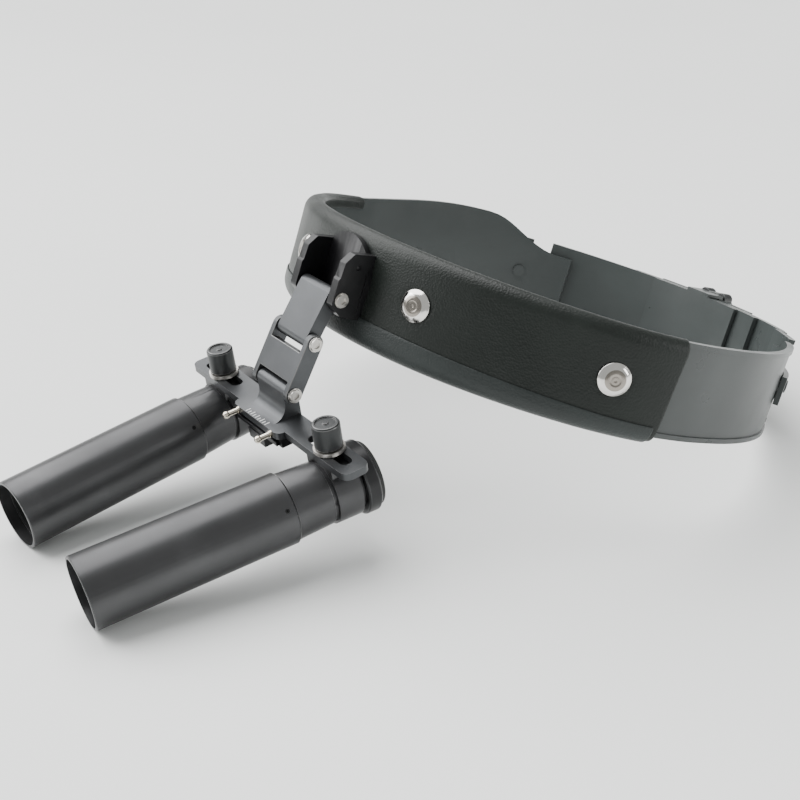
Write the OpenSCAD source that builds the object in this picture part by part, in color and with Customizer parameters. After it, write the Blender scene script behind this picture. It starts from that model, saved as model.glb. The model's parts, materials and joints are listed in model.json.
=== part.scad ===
// Telescopic dental loupes on a headband, stored as they rest on a table:
// the barrels' front rims and the bottom of the rear straps touch the floor at z = 0.
// X is across the head, with +X to the wearer's left. Y runs from the barrels' mouths to the
// back of the head. Z is up. Each sub-part is one module in its own frame, placed by a frame module.

/* [Headband] */
// Half of the headband's outer width
band_half_w = 92.2; // [88:0.1:96]
// Distance from the band's widest place to its front
band_front = 80.1; // [78:0.1:82]
// Straight run between the side arcs and the rear arc
band_straight = 6.3; // [4:0.1:9]
// Thickness of the band and of the straps
band_t = 1.8; // [1.6:0.1:2]
// Height of the front band above its middle
band_top = 14.6; // [14:0.1:14.8]
// Depth of the front band below its middle
band_low = 16.4; // [15.6:0.1:16.5]
// Height of the rear straps above the band's middle
strap_top = 15.1; // [14.8:0.1:15.4]
// Depth of the rear straps below the band's middle
strap_low = 16.5; // [15.8:0.1:16.6]
// Half height of the narrow ends that tuck into the straps
tab_hh = 10.6; // [9:0.2:11]
// Height of the lobe on the right-hand end of the front band
lobe_hh = 21.2; // [17:0.1:22]
// Slope of the band towards the back, in degrees
band_tilt = 19.6; // [18:0.1:21]

/* [Leather cover] */
// Height of the cover's top edge at the front
cover_top_front = 17.4; // [17:0.1:18]
// Height of the cover's top edge at its ends
cover_top_end = 15.4; // [15.2:0.1:16]
// Depth of the cover's lower edge
cover_low = 18.2; // [17:0.1:18.4]
// How far back the cover's ends reach, from the band's widest place
cover_end_y = -19.5; // [-24:0.5:-16]
// Thickness of the cover outside the band
cover_t = 3.4; // [3:0.1:4]

/* [Folding arm] */
// Lean of the upper link from the vertical, in degrees
upper_lean = 33.8; // [32:0.1:36]
// Lean of the lower link from the vertical, in degrees
lower_lean = 28.5; // [26:0.1:30]
// Distance between the upper link's pivots
upper_len = 16; // [15:0.1:17]
// Distance between the lower link's pivots
lower_len = 17.4; // [17:0.1:18]
// Width of the upper link
link_w = 16.6; // [16:0.1:17]

/* [Bridge] */
// Length of the bridge bar
bar_len = 97.4; // [96:0.1:100]
// Depth of the bridge bar, front to back
bar_depth = 9.5; // [9:0.1:10]
// Thickness of the bridge bar
bar_t = 2.4; // [2.2:0.1:2.6]
// Distance between the two barrels at the bar
pupil_gap = 66.6; // [65:0.1:68]
// Travel of each barrel along its slot, each way
slot_travel = 7; // [5:0.5:8]

/* [Barrels] */
// Outer radius of the objective sleeve
sleeve_r = 11.5; // [11.4:0.1:11.6]
// Length of the objective sleeve
sleeve_len = 65; // [62:0.5:66]
// Distance from the barrel's mouth to the middle of its clamp
clamp_at = 82.6; // [82:0.1:83]
// Slope of the barrels in the stored pose, in degrees
barrel_pitch = 7.73; // [7:0.01:8]
// Inward turn of each barrel, in degrees
barrel_toe = 5.16; // [4.5:0.01:6]

/* [Hidden] */
$fn = 64;

eps = 0.05;
fit = 0.35;                     // gap between curved faces of parts that slide on each other
run = 0.05;                     // radial clearance of a shaft in its bore

// Plan outline of the band, seen along its own axis: a rear half circle, a short straight,
// two side arcs and one flatter front arc, each tangent to the next.
side_r = 70;
side_x = band_half_w - side_r;
front_r = (side_x * side_x + band_front * band_front - side_r * side_r) / (2 * (band_front - side_r));
front_y = front_r - band_front;
rear_y = band_straight;
band_out = -band_t - fit;       // the front band's outer face, inside the straps' outer face
band_in = band_out - band_t;
cover_out = band_out + cover_t + 0.15;
rim_proud = 0.6;
rim_h = 1.6;

// Angles round the rear arc, from +X; the back of the head is at 90
strap_edge = 45.7;
tongue_edge = 29.5;
stud_at = 38.6;
tab_end = 52;
overlap_at = 58;
inner_end = 69;
housing_half = 14;
flange_half = 3.5;
flange_t = 1.2;
flange_gap = 0.25;
housing_w = [-13.1, strap_top + flange_gap + flange_t];   // bottom and top of the housing
rack_low = 11.6;                // depth of the straps where they run through the housing
rack_from = 90;                 // where the straps' lower edge starts to rise towards the housing
rack_to = 95.5;
tongue_hh = 5;
step_arc = 2;                   // length of the left strap's outward step, in degrees
rims_end = 77;                  // the left strap's rims stop at the housing
rims_from = 123;                // the right strap's rims start clear of the left strap's end
cover_wall = 2;
cover_face = band_half_w + 2 * band_t + fit;
base_in = band_half_w - band_t - 1.9;
base_t = 1.45;

// Rear adjuster
knob_w = 5;                   // height of the knob's axis above the band's middle
pinion_teeth = 10;
pinion_r = 5;                   // pitch radius
rack_pitch = 2 * PI * pinion_r / pinion_teeth;
tooth_tip = 0.8;
tooth_root = 1.1;
loosen = 3.2;                   // travel of a strap round the rear arc, in degrees
tighten = 5.7;
layer_mid = [band_half_w + fit + band_t / 2, band_half_w - band_t / 2];   // left, right
knob_r = 12;
lobe_r = 2.4;
lobe_count = 8;
knob_in = band_half_w + 6.3;
knob_out = band_half_w + 11.4;

// Where the band's own frame stands in the room
function band_to_room(v, w) = [
    band_y + v * cos(band_tilt) + w * sin(band_tilt),
    band_z - v * sin(band_tilt) + w * cos(band_tilt)
];
depth_all = 296.024;              // from the barrels' mouths to the knob's face
front_reach = 186.5386;           // from the barrels' mouths to the band's widest place
band_y = front_reach - depth_all / 2;
band_z = (cover_face + cover_wall + rear_y) * sin(band_tilt) - housing_w[0] * cos(band_tilt);

// Pivots of the folding arm, as [y, z] in the room
mount_pivot = [-(band_front + 9.75), -4.6];
upper_pivot = band_to_room(mount_pivot[0], mount_pivot[1]);
middle_pivot = upper_pivot - upper_len * [sin(upper_lean), cos(upper_lean)];
lower_pivot = middle_pivot - lower_len * [sin(lower_lean), cos(lower_lean)];
knuckle = [2.8, 8.5];           // the lower pivot in the bridge's frame, from the bar's top middle
bridge_at = lower_pivot - [
    knuckle[0] * cos(barrel_pitch) - knuckle[1] * sin(barrel_pitch),
    knuckle[0] * sin(barrel_pitch) + knuckle[1] * cos(barrel_pitch)
];
axis_drop = 13.5;               // from the bar's top to the barrels' axes
link_r = 2.5;                   // the upper link's rounded ends
ear_r = 3;                      // the lower link's rounded ends
ear_t = 2.1;
pin_r = 1;
head_r = 2.1;
ear_in = link_w / 2 + 0.3;
ear_out = ear_in + ear_t;
cheek_in = ear_in + 0.6;
cheek_out = cheek_in + 3.1;
screw_heights = [-7.5, 7.5];    // the two screws that hold the mount on the band

// Bridge
slot_r = 2.1;
shank_r = slot_r - 0.3;
slot_half = slot_travel + slot_r + 1.6;
bar_gap = 0.3;                  // between the bar and the brackets that slide under it
washer_z = [0.25, 1.45];
thumb_r = 4.45;
thumb_h = 8.4;
thumb_top = washer_z[1] + 0.05 + thumb_h;
shank_end = -3.4;               // the shank stops short of the barrel's neck

// Barrels: distances are along the axis, from the mouth
mouth_r = 10.6;
lens_r = 9.95;
seat_r = 10;                    // bore behind the mouth that holds the lens
lens_at = 5.2;
lens_t = 4.2;
mouth_depth = 3.6;
thread_r = 9.6;
neck_r = 9.9;
neck_bore = 8.6;
clamp_half = 4.2;
clamp_turn = 90;                // the clamp's grub screw, round the axis
eye_r = 11.8;
eye_at = 88.2;
eye_end = 93;
cup_end = 94.4;

// Colours
dark_plastic = [0.16, 0.17, 0.17];
leather_col = [0.09, 0.11, 0.10];
anodised = [0.17, 0.17, 0.18];
black_metal = [0.07, 0.07, 0.075];
steel = [0.75, 0.75, 0.74];
brass_col = [0.80, 0.70, 0.45];
glass_col = [0.55, 0.65, 0.75, 0.5];
rubber_col = [0.06, 0.06, 0.06];

// ---------- frames ----------

module in_band() {
    translate([0, band_y, band_z]) rotate([-band_tilt, 0, 0]) children();
}

// A link's frame: its top pivot at the origin, the link hanging along -Z
module in_link(pivot, lean) {
    translate([0, pivot[0], pivot[1]]) rotate([-lean, 0, 0]) children();
}

module in_bridge() {
    translate([0, bridge_at[0], bridge_at[1]]) rotate([barrel_pitch, 0, 0]) children();
}

// side is 1 for the wearer's left and -1 for the right
module on_slot(side) {
    in_bridge() translate([side * pupil_gap / 2, 0, 0]) children();
}

// A barrel's frame: the axis is +Z, from the mouth at the origin to the eye
module in_barrel(side) {
    on_slot(side) translate([0, 0, -axis_drop]) rotate([0, 0, -side * barrel_toe])
        rotate([-90, 0, 0]) translate([0, 0, -clamp_at]) children();
}

// The knob's frame: +Z points out of the back of the head
module in_knob() {
    in_band() translate([0, rear_y, knob_w]) rotate([-90, 0, 0]) children();
}

// ---------- shared shapes ----------

module bar_x(r, x0, x1, sides = 64) {
    translate([x0, 0, 0]) rotate([0, 90, 0]) cylinder(r = r, h = x1 - x0, $fn = sides);
}

module ring(r_in, r_out, z0, z1) {
    difference() {
        translate([0, 0, z0]) cylinder(r = r_out, h = z1 - z0);
        translate([0, 0, z0 - 1]) cylinder(r = r_in, h = z1 - z0 + 2);
    }
}

// Outline of the band grown by g
module band_outline(g) {
    translate([0, rear_y]) intersection() {
        circle(r = band_half_w + g, $fn = 128);
        translate([-200, 0]) square([400, 200]);
    }
    translate([-band_half_w - g, 0]) square([2 * (band_half_w + g), rear_y]);
    for (side = [-1, 1]) translate([side * side_x, 0]) circle(r = side_r + g, $fn = 128);
    intersection() {
        translate([0, front_y]) circle(r = front_r + g, $fn = 128);
        polygon([[0, front_y], [-side_x * 8, front_y - front_y * 8], [side_x * 8, front_y - front_y * 8]]);
    }
}

module band_shell(g_in, g_out, w0, w1) {
    translate([0, 0, w0]) linear_extrude(w1 - w0) difference() {
        band_outline(g_out);
        band_outline(g_in);
    }
}

// A piece of wall round the rear arc
module arc_wall(r_in, r_out, w0, w1, a0, a1) {
    translate([0, rear_y, 0]) rotate([0, 0, a0]) rotate_extrude(angle = a1 - a0, $fn = 128)
        translate([r_in, w0]) square([r_out - r_in, w1 - w0]);
}

function ease(t) = (1 - cos(180 * t)) / 2;
function curve(y0, y1, w0, w1, n = 10) = [
    for (i = [0:n]) [y0 + (y1 - y0) * i / n, w0 + (w1 - w0) * ease(i / n)]
];

// Cuts by a side view: the points are [y, w] and the cut reaches from x0 to x1
module side_cut(points, x0, x1) {
    translate([x0, 0, 0]) rotate([90, 0, 90]) linear_extrude(x1 - x0) polygon(points);
}

// ---------- headband ----------

y_front = -band_front - 10;
y_rear = band_half_w + rear_y + 5;
narrow_from = 66;               // where both edges narrow to the tabs
narrow_to = 72;
left_top = concat([[y_front, band_top]], curve(narrow_from, narrow_to, band_top, tab_hh), [[y_rear, tab_hh]]);
right_top = concat(
    [[y_front, band_top]],
    curve(cover_end_y - 8, 44, band_top, lobe_hh),
    curve(46, narrow_to + 0.5, lobe_hh, tab_hh),
    [[y_rear, tab_hh]]
);
bottom = concat(
    [[y_rear, -tab_hh]],
    curve(narrow_to, narrow_from, -tab_hh, -band_low),
    [[y_front, -band_low]]
);

module front_band() {
    color(dark_plastic) in_band() difference() {
        union() {
            intersection() {
                band_shell(band_in, band_out, -band_low - 1, lobe_hh + 1);
                union() {
                    side_cut(concat(left_top, bottom), -eps, 110);
                    side_cut(concat(right_top, bottom), -110, eps);
                }
            }
            for (w = [band_top - rim_h, -band_low]) intersection() {
                band_shell(band_out - 0.5, band_out + rim_proud, w, w + rim_h);
                translate([-110, cover_end_y + 0.4, -20]) cube([220, narrow_from - 2 - cover_end_y, 40]);
            }
        }
        translate([0, rear_y, -30]) linear_extrude(60)
            polygon([[0, 0], 200 * [cos(tab_end), sin(tab_end)], 200 * [-cos(tab_end), sin(tab_end)]]);
        for (side = [-1, 1]) at_stud(side) cylinder(r = 1.25, h = 12, center = true);
        for (a = rivet_angles) at_rivet(a) cylinder(r = rivet_hole_r, h = 14, center = true);
        on_mount_screws() cylinder(r = 1.25, h = 12, center = true);
    }
}

// Rivets: the front pair lies on the front arc, the outer pair on the side arcs.
// at_rivet's +Z points out of the band and its origin lies on the band's outer face.
rivet_angles = [-57.6, -18.2, 18.2, 57.6];
rivet_hole_r = 1.65;
front_rivet_w = 1.2;             // heights of the rivets above the band's middle
side_rivet_w = -0.8;
module at_rivet(a) {
    if (abs(a) < 45)
        translate([0, front_y, front_rivet_w]) rotate([0, 0, a])
            translate([0, -front_r - band_out, 0]) rotate([90, 0, 0]) children();
    else
        translate([sign(a) * side_x, 0, side_rivet_w]) rotate([0, 0, a])
            translate([0, -side_r - band_out, 0]) rotate([90, 0, 0]) children();
}

// +Z points out of the band's front and the origin lies on its outline
module on_mount_screws() {
    for (w = screw_heights) translate([0, -band_front, w]) rotate([90, 0, 0]) children();
}

// at_stud's +Z points out of the band and its origin lies on the rear arc's axis
module at_stud(side) {
    translate([0, rear_y, 0]) rotate([0, 0, side * (stud_at - 90)])
        translate([0, band_half_w + band_out, 0]) rotate([-90, 0, 0]) children();
}

cover_side = concat(
    [[cover_end_y, -cover_low], [y_front, -cover_low], [y_front, cover_top_front]],
    curve(-band_front, cover_end_y, cover_top_front, cover_top_end)
);

module leather_cover() {
    color(leather_col) in_band() difference() {
        intersection() {
            band_shell(band_in - 1.6, cover_out, -cover_low, cover_top_front);
            side_cut(cover_side, -110, 110);
        }
        difference() {
            band_shell(band_in - eps, band_out + eps, -band_low - eps, band_top + eps);
            translate([-110, cover_end_y + 0.1, -30]) cube([220, 200, 60]);
        }
        band_shell(band_in - 3, band_in, -band_low + 4, band_top - 4);
        for (a = rivet_angles) at_rivet(a) cylinder(r = rivet_hole_r, h = 14, center = true);
        on_mount_screws() cylinder(r = 1.25, h = 14, center = true);
    }
}

cap_r = 5.3;
cap_h = 1.9;
module rivet_caps() {
    dome_r = (cap_r * cap_r + cap_h * cap_h) / (2 * cap_h);
    color(steel) in_band() for (a = rivet_angles) at_rivet(a) {
        intersection() {
            translate([0, 0, cover_t + 0.25 + cap_h - dome_r]) sphere(r = dome_r, $fn = 96);
            translate([0, 0, cover_t + 0.25]) cylinder(r = cap_r, h = 5);
        }
        translate([0, 0, -band_t - 0.4]) cylinder(r = 1.6, h = band_t + cover_t + 0.8);
    }
}

module rivet_backs() {
    color(steel) in_band() for (a = rivet_angles) at_rivet(a)
        ring(1.6 + run, 4.2, -band_t - 1.1, -band_t - 0.2);
}

// Forked mount: a curved base plate with two cheeks that hold the upper link
plate_in = cover_out + 0.03;
plate_out = plate_in + 2.2;
plate_r = 13;
plate_w = 1.8;                  // height of the middle of the plate's round part
plate_foot = -10.2;
web_w = [-11, -6];
module mount_fork() {
    color(black_metal) in_band() difference() {
        union() {
            intersection() {
                band_shell(plate_in - 1, plate_out, -14, 18);
                translate([0, -band_front, 0]) rotate([90, 0, 0]) linear_extrude(20, center = true) {
                    translate([0, plate_w]) circle(r = plate_r);
                    polygon([
                        [-plate_r, plate_w], [plate_r, plate_w],
                        [cheek_out, plate_foot], [-cheek_out, plate_foot]
                    ]);
                }
            }
            for (side = [-1, 1]) difference() {
                cheek(side);
                translate([side * cheek_out, -band_front - 6.6, 6.2]) sphere(r = 0.9, $fn = 32);
            }
            translate([-cheek_in - eps, -band_front - plate_out - 2.4, web_w[0]])
                cube([2 * cheek_in + 2 * eps, 2.6, web_w[1] - web_w[0]]);
        }
        translate([0, mount_pivot[0], mount_pivot[1]]) bar_x(pin_r + run, -20, 20);
        on_mount_screws() cylinder(r = 1.25, h = plate_out - 0.5);
        band_shell(plate_in - 10, plate_in, -20, 20);
    }
}

// The outline round centres, given clockwise, at the distance r, with rounded corners
function rounded(centres, r, steps = 6) = [
    for (i = [0:len(centres) - 1])
        let (
            n = len(centres),
            from = centres[i] - centres[(i + n - 1) % n],
            to = centres[(i + 1) % n] - centres[i],
            start = atan2(from[0], -from[1]),
            turn = (start - atan2(to[0], -to[1]) + 360) % 360
        )
        for (k = [0:steps])
            centres[i] + r * [cos(start - turn * k / steps), sin(start - turn * k / steps)]
];

// Side outlines of a cheek, as [y, w] from the band's front: the lower part stands further forward
cheek_lower = [[-1, 1.4], [-1, -9], [-8.2, -8.6], [-11.4, -6], [-11.2, 1.2]];
cheek_upper = [[-1, 9.4], [-1, 0], [-10.9, 0], [-10.4, 6.6], [-8.4, 9]];
cheek_round = 1.4;
module cheek(side) {
    translate([side > 0 ? cheek_in : -cheek_out, -band_front, 0]) rotate([90, 0, 90])
        linear_extrude(cheek_out - cheek_in)
            for (outline = [cheek_lower, cheek_upper]) polygon(rounded(outline, cheek_round));
}

module mount_screws() {
    color(steel) in_band() on_mount_screws() {
        translate([0, 0, band_in - 0.2]) cylinder(r = 1.2, h = plate_out - band_in - 0.8);
        translate([0, 0, band_in - 1.5]) cylinder(r = 2.6, h = 1.4);
    }
}

module band_studs() {
    color(steel) in_band() for (side = [-1, 1]) at_stud(side) {
        translate([0, 0, -band_t - 1]) cylinder(r = 2.4, h = 0.95);
        translate([0, 0, -band_t - 0.5]) cylinder(r = 1.2, h = 2 * band_t + fit + 1);
        translate([0, 0, band_t + fit + 0.3]) cylinder(r = 2.3, h = 0.6);
    }
}

// ---------- rear adjuster ----------

// A strap's rack end: a slot round the pinion with teeth on one of its long edges.
// dir is 1 for the left strap, whose teeth are below the pinion, and -1 for the right.
module rack_slot(dir, r_mid) {
    half = asin((pinion_r + 1.4) / r_mid);
    a0 = 90 - half - (dir > 0 ? tighten : loosen) - 0.6;
    a1 = 90 + half + (dir > 0 ? loosen : tighten) + 0.6;
    deg = rack_pitch / r_mid * 180 / PI;
    n = floor((a1 - a0) / 2 / deg) - 1;
    translate([0, 0, knob_w]) difference() {
        arc_wall(r_mid - 3, r_mid + 3, -pinion_r - tooth_root, pinion_r + tooth_root, a0, a1);
        for (i = [-n:n]) translate([0, rear_y, 0]) rotate([0, 0, deg * (i + 0.5)])
            translate([0, r_mid, -dir * (pinion_r + tooth_root)]) rotate([90, 0, 0])
                linear_extrude(8, center = true) scale([1, dir]) rack_tooth();
    }
}

module rack_tooth() {
    tall = tooth_tip + tooth_root;
    shoulder = tall * 0.4;
    polygon([[-0.85, -0.5], [0.85, -0.5], [0.62, shoulder], [0.22, tall], [-0.22, tall], [-0.62, shoulder]]);
}

// A raised rim at the height w on a strap whose outer face has the radius r
rim_heights = [strap_top - rim_h, -strap_low];
module strap_rim(r, w, a0, a1) {
    arc_wall(r - 0.5, r + rim_proud, w, w + rim_h, a0, a1);
}

// Raises the straps' lower edge towards the housing
module rack_cut() {
    rise = curve(rack_from, rack_to, -strap_low - 0.2, -rack_low);
    side_cut(concat([[rack_from, -40]], rise, [[120, -rack_low], [120, -40]]), -60, 60);
}

module stud_slot() {
    a0 = stud_at - tighten - 0.6;
    a1 = stud_at + loosen + 0.6;
    for (a = [a0, a1]) translate([0, rear_y, 0]) rotate([0, 0, a - 90]) rotate([-90, 0, 0])
        translate([0, 0, band_half_w - 6]) cylinder(r = 1.5, h = 12);
    arc_wall(band_half_w - 6, band_half_w + 6, -1.5, 1.5, a0, a1);
}

// Front end of a strap: a tongue with a slot that slides over the band's stud
module tongue_cuts() {
    for (w = [tongue_hh, -tongue_hh - 20])
        arc_wall(band_half_w - 8, band_half_w + 8, w, w + 20, tongue_edge - 1, strap_edge);
    stud_slot();
}

// A strap's plain wall, from one angle round the rear arc to another
module strap_wall(r_in, r_out, a0, a1) {
    arc_wall(r_in, r_out, -strap_low, strap_top, a0, a1);
}

// The left strap steps out at overlap_at and runs over the right one
module strap_left() {
    outer_in = band_half_w + fit;
    step_from = overlap_at - step_arc;
    color(dark_plastic) in_band() difference() {
        union() {
            strap_wall(band_half_w - band_t, band_half_w, tongue_edge, overlap_at);
            strap_wall(outer_in, outer_in + band_t, step_from, 180 - inner_end);
            strap_wall(band_half_w - 0.6, outer_in + 0.6, step_from + 0.1, overlap_at - 0.1);
            for (w = rim_heights) strap_rim(band_half_w, w, strap_edge + 0.3, step_from - 0.3);
            strap_rim(outer_in + band_t, rim_heights[0], overlap_at + 0.3, rims_end);
        }
        tongue_cuts();
        rack_cut();
        rack_slot(1, layer_mid[0]);
    }
}

module strap_right() {
    color(dark_plastic) in_band() difference() {
        union() {
            strap_wall(band_half_w - band_t, band_half_w, inner_end, 180 - tongue_edge);
            for (w = rim_heights) strap_rim(band_half_w, w, rims_from, 180 - strap_edge - 0.3);
        }
        mirror([1, 0, 0]) tongue_cuts();
        rack_cut();
        rack_slot(-1, layer_mid[1]);
    }
}

// Outline of the housing's two shells, between the radii r_in and r_out: the full width up to the
// straps' top edge, and narrower where it hooks over that edge
module housing_wall(r_in, r_out) {
    difference() {
        arc_wall(r_in, r_out, housing_w[0], housing_w[1], 90 - housing_half, 90 + housing_half);
        for (side = [0, 1]) mirror([side, 0, 0])
            arc_wall(r_in - 1, r_out + 1, strap_top, housing_w[1] + 1, 60, 90 - flange_half);
    }
}

module housing_cover() {
    outer = cover_face + cover_wall;
    color(dark_plastic) in_band() difference() {
        housing_wall(base_in + base_t + eps, outer);
        arc_wall(base_in, cover_face, housing_w[0] + flange_t, housing_w[1] - flange_t, 60, 120);
        for (side = [0, 1]) mirror([side, 0, 0])
            arc_wall(base_in, cover_face, housing_w[0] - 1, strap_top + 1, 60, 90 - flange_half - 0.01);
        on_knob_axis() cylinder(r = 3 + run, h = 30);
        on_housing_screws() translate([0, 0, 1]) cylinder(r = 0.42, h = 4);
    }
}

// The knob's axis in the band's frame, with its origin inside the band
module on_knob_axis() {
    translate([0, rear_y + base_in - 2, knob_w]) rotate([-90, 0, 0]) children();
}

module on_housing_screws() {
    for (a = [-2.2, 2.2])
        translate([0, rear_y, housing_w[0] + flange_t / 2]) rotate([0, 0, a]) rotate([-90, 0, 0])
            translate([0, 0, base_in]) children();
}

// The base closes the housing on the head's side, with a blind hole for the pinion's end
module housing_base() {
    color(dark_plastic) in_band() difference() {
        housing_wall(base_in, base_in + base_t);
        on_knob_axis() translate([0, 0, 2.5]) cylinder(r = 2 + run, h = 10);
        on_housing_screws() translate([0, 0, -1]) cylinder(r = 0.42, h = 8);
    }
}

module housing_screws() {
    color(steel) in_band() on_housing_screws() {
        translate([0, 0, -0.4]) cylinder(r = 0.9, h = 0.38);
        translate([0, 0, -0.3]) cylinder(r = 0.4, h = 4);
    }
}

module ratchet_ring() {
    color(black_metal) in_knob() difference() {
        translate([0, 0, cover_face + cover_wall + 0.02]) cylinder(r = 8, h = 1.4);
        translate([0, 0, cover_face]) cylinder(r = 5.8, h = 10);
        for (i = [0:23]) rotate([0, 0, i * 15]) translate([8, 0, cover_face]) rotate([0, 0, 45])
            cube([0.9, 0.9, 20], center = true);
    }
}

module ratchet_knob() {
    color(dark_plastic) in_knob() difference() {
        translate([0, 0, knob_in]) linear_extrude(knob_out - knob_in) {
            circle(r = knob_r);
            for (i = [0:lobe_count - 1]) rotate((i + 0.5) * 360 / lobe_count)
                translate([knob_r - 0.8, 0]) circle(r = lobe_r);
        }
        translate([0, 0, knob_in - 1]) cylinder(r = 9.6, h = 3.2);
        translate([0, 0, knob_out - 1.2]) cylinder(r = 6, h = 3);
        translate([0, 0, knob_in - 1]) cylinder(r = 2 + 0.02, h = 20);
    }
}

module knob_pinion() {
    color(steel) in_knob() {
        translate([0, 0, band_half_w - band_t + 0.1]) linear_extrude(2 * band_t + fit + 0.1) union() {
            circle(r = pinion_r - tooth_root - 0.1);
            for (i = [0:pinion_teeth - 1]) rotate([0, 0, 90 + i * 360 / pinion_teeth])
                translate([pinion_r - tooth_root - 0.4, 0])
                    polygon([[0, -0.75], [0.7, -0.62], [2.1, -0.2], [2.1, 0.2], [0.7, 0.62], [0, 0.75]]);
        }
        translate([0, 0, band_half_w - 2]) cylinder(r = 3, h = knob_in + 2.15 - band_half_w + 2);
        translate([0, 0, base_in + 0.6]) cylinder(r = 2, h = 2);
        translate([0, 0, knob_in]) difference() {
            cylinder(r = 2, h = knob_out - 1.3 - knob_in);
            translate([0, 0, knob_out - knob_in - 2.7]) cylinder(r = 1 + 0.02, h = 5);
        }
    }
}

module knob_screw() {
    color(steel) in_knob() difference() {
        union() {
            translate([0, 0, knob_out - 1.2]) cylinder(r = 3.4, h = 1);
            translate([0, 0, knob_out - 2.5]) cylinder(r = 1, h = 1.4);
        }
        translate([0, 0, knob_out - 0.8]) cube([4.4, 0.8, 1.2], center = true);
    }
}

module pawl_spring() {
    color(steel) in_knob() for (side = [0, 180]) rotate([0, 0, side + 7.5]) {
        translate([8.5, -2.1, knob_in + 0.35]) cube([0.7, 4.2, 1.4]);
        translate([8.5, 1.4, knob_in + 0.35]) cube([0.7, 0.7, 1.8]);
    }
}

// ---------- folding arm ----------

// A pin with a washer and a head on the wearer's left, and a threaded end on the right
module hinge_pin(face_out) {
    color(steel) difference() {
        union() {
            bar_x(pin_r, -face_out - 1.2, face_out + 0.2);
            bar_x(head_r + 0.35, face_out + eps, face_out + 0.4);
            bar_x(head_r, face_out + 0.3, face_out + 1.1);
        }
        bar_x(1.15, face_out + 0.55, face_out + 2, 6);
    }
}

module hinge_nut(face_out) {
    color(steel) difference() {
        bar_x(head_r, -face_out - 1.3, -face_out - eps, 6);
        bar_x(pin_r + 0.02, -face_out - 2, 0);
    }
}

module upper_hinge_pin() { in_link(upper_pivot, 0) hinge_pin(cheek_out); }
module upper_hinge_nut() { in_link(upper_pivot, 0) hinge_nut(cheek_out); }
module middle_hinge_pin() { in_link(middle_pivot, 0) hinge_pin(ear_out); }
module middle_hinge_nut() { in_link(middle_pivot, 0) hinge_nut(ear_out); }
module lower_hinge_pin() { in_link(lower_pivot, 0) hinge_pin(ear_out); }
module lower_hinge_nut() { in_link(lower_pivot, 0) hinge_nut(ear_out); }

module upper_link() {
    half = link_w / 2;
    pocket_edge = 3;            // metal left round the pocket in the back
    color(anodised) in_link(upper_pivot, upper_lean) difference() {
        union() {
            for (z = [0, -upper_len]) translate([0, 0, z]) bar_x(link_r, -half, half);
            translate([-half, -link_r, -upper_len]) cube([link_w, 2 * link_r, upper_len]);
        }
        for (z = [0, -upper_len]) translate([0, 0, z]) bar_x(pin_r + run, -20, 20);
        translate([-half + pocket_edge, 0.2, -upper_len + link_r + 1.5])
            cube([link_w - 2 * pocket_edge, 5, upper_len - 2 * link_r - 3]);
    }
}

module lower_link() {
    web_z0 = -lower_len + ear_r + 0.1;
    web_z1 = -4.2;
    color(anodised) in_link(middle_pivot, lower_lean) difference() {
        union() {
            for (side = [-1, 1]) {
                x0 = side > 0 ? ear_in : -ear_out;
                for (z = [0, -lower_len]) translate([0, 0, z]) bar_x(ear_r, x0, x0 + ear_t);
                translate([x0, -ear_r, -lower_len]) cube([ear_t, 2 * ear_r, lower_len]);
            }
            translate([-ear_in - eps, -ear_r, web_z0]) cube([2 * ear_in + 2 * eps, 3.6, web_z1 - web_z0]);
        }
        for (z = [0, -lower_len]) translate([0, 0, z]) bar_x(pin_r + run, -20, 20);
    }
}

// ---------- bridge ----------

module bridge_bar() {
    half = bar_len / 2;
    deep = bar_depth / 2;
    color(anodised) in_bridge() difference() {
        union() {
            translate([0, 0, -bar_t]) linear_extrude(bar_t) difference() {
                union() {
                    translate([-half + 3, -deep]) square([bar_len - 6, bar_depth]);
                    for (x = [-1, 1], y = [-1, 1]) translate([x * (half - 3), y * (deep - 3)]) circle(r = 3);
                    translate([-half, -deep + 3]) square([bar_len, bar_depth - 6]);
                    translate([-12, -7.4]) square([24, 4]);
                    for (x = [-1, 1]) translate([x * 12, -deep]) circle(r = 2.6);
                }
                for (side = [-1, 1]) translate([side * pupil_gap / 2, 0]) {
                    for (x = [-1, 1]) translate([x * (slot_half - slot_r), 0]) circle(r = slot_r);
                    square([2 * (slot_half - slot_r), 2 * slot_r], center = true);
                }
            }
            knuckle_block();
        }
        translate([0, knuckle[0], knuckle[1]]) bar_x(pin_r + run, -20, 20);
    }
}

// The knuckle rises from the bar in a curve and rounds over the lower pivot
module knuckle_block() {
    wide = link_w - 0.2;
    r = ear_r - 0.4;
    foot = 5.2;
    rotate([90, 0, 90]) linear_extrude(wide, center = true) {
        translate(knuckle) circle(r = r);
        translate([knuckle[0] - r, -1]) square([2 * r, knuckle[1] + 1]);
        difference() {
            translate([knuckle[0] - r - foot, -1]) square([foot + 0.2, foot + 1]);
            translate([knuckle[0] - r - foot, foot]) circle(r = foot);
        }
    }
}

module guide_rail() {
    color(black_metal) in_bridge() {
        translate([-14.4, -6.4, -bar_t - 3]) cube([28.8, 4.6, 2.98]);
        translate([-13, -7.6, -bar_t - 2.4]) cube([26, 1.3, 1.4]);
        translate([-5, -7.8, -bar_t - 6.4]) cube([10, 6.6, 3.5]);
    }
}

// Two ball-ended pins for clip-on accessories, each with a small collar
module ball_pins() {
    gap = 20.6;
    length = 4.4;
    color(brass_col) in_bridge()
        for (x = [-gap / 2, gap / 2]) translate([x, -7.42, -bar_t / 2]) rotate([90, 0, 0]) {
            cylinder(r = 0.9, h = length);
            cylinder(r = 1.15, h = 0.8);
            translate([0, 0, length + 0.4]) sphere(r = 1.25, $fn = 48);
        }
}

// ---------- barrels ----------

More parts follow.
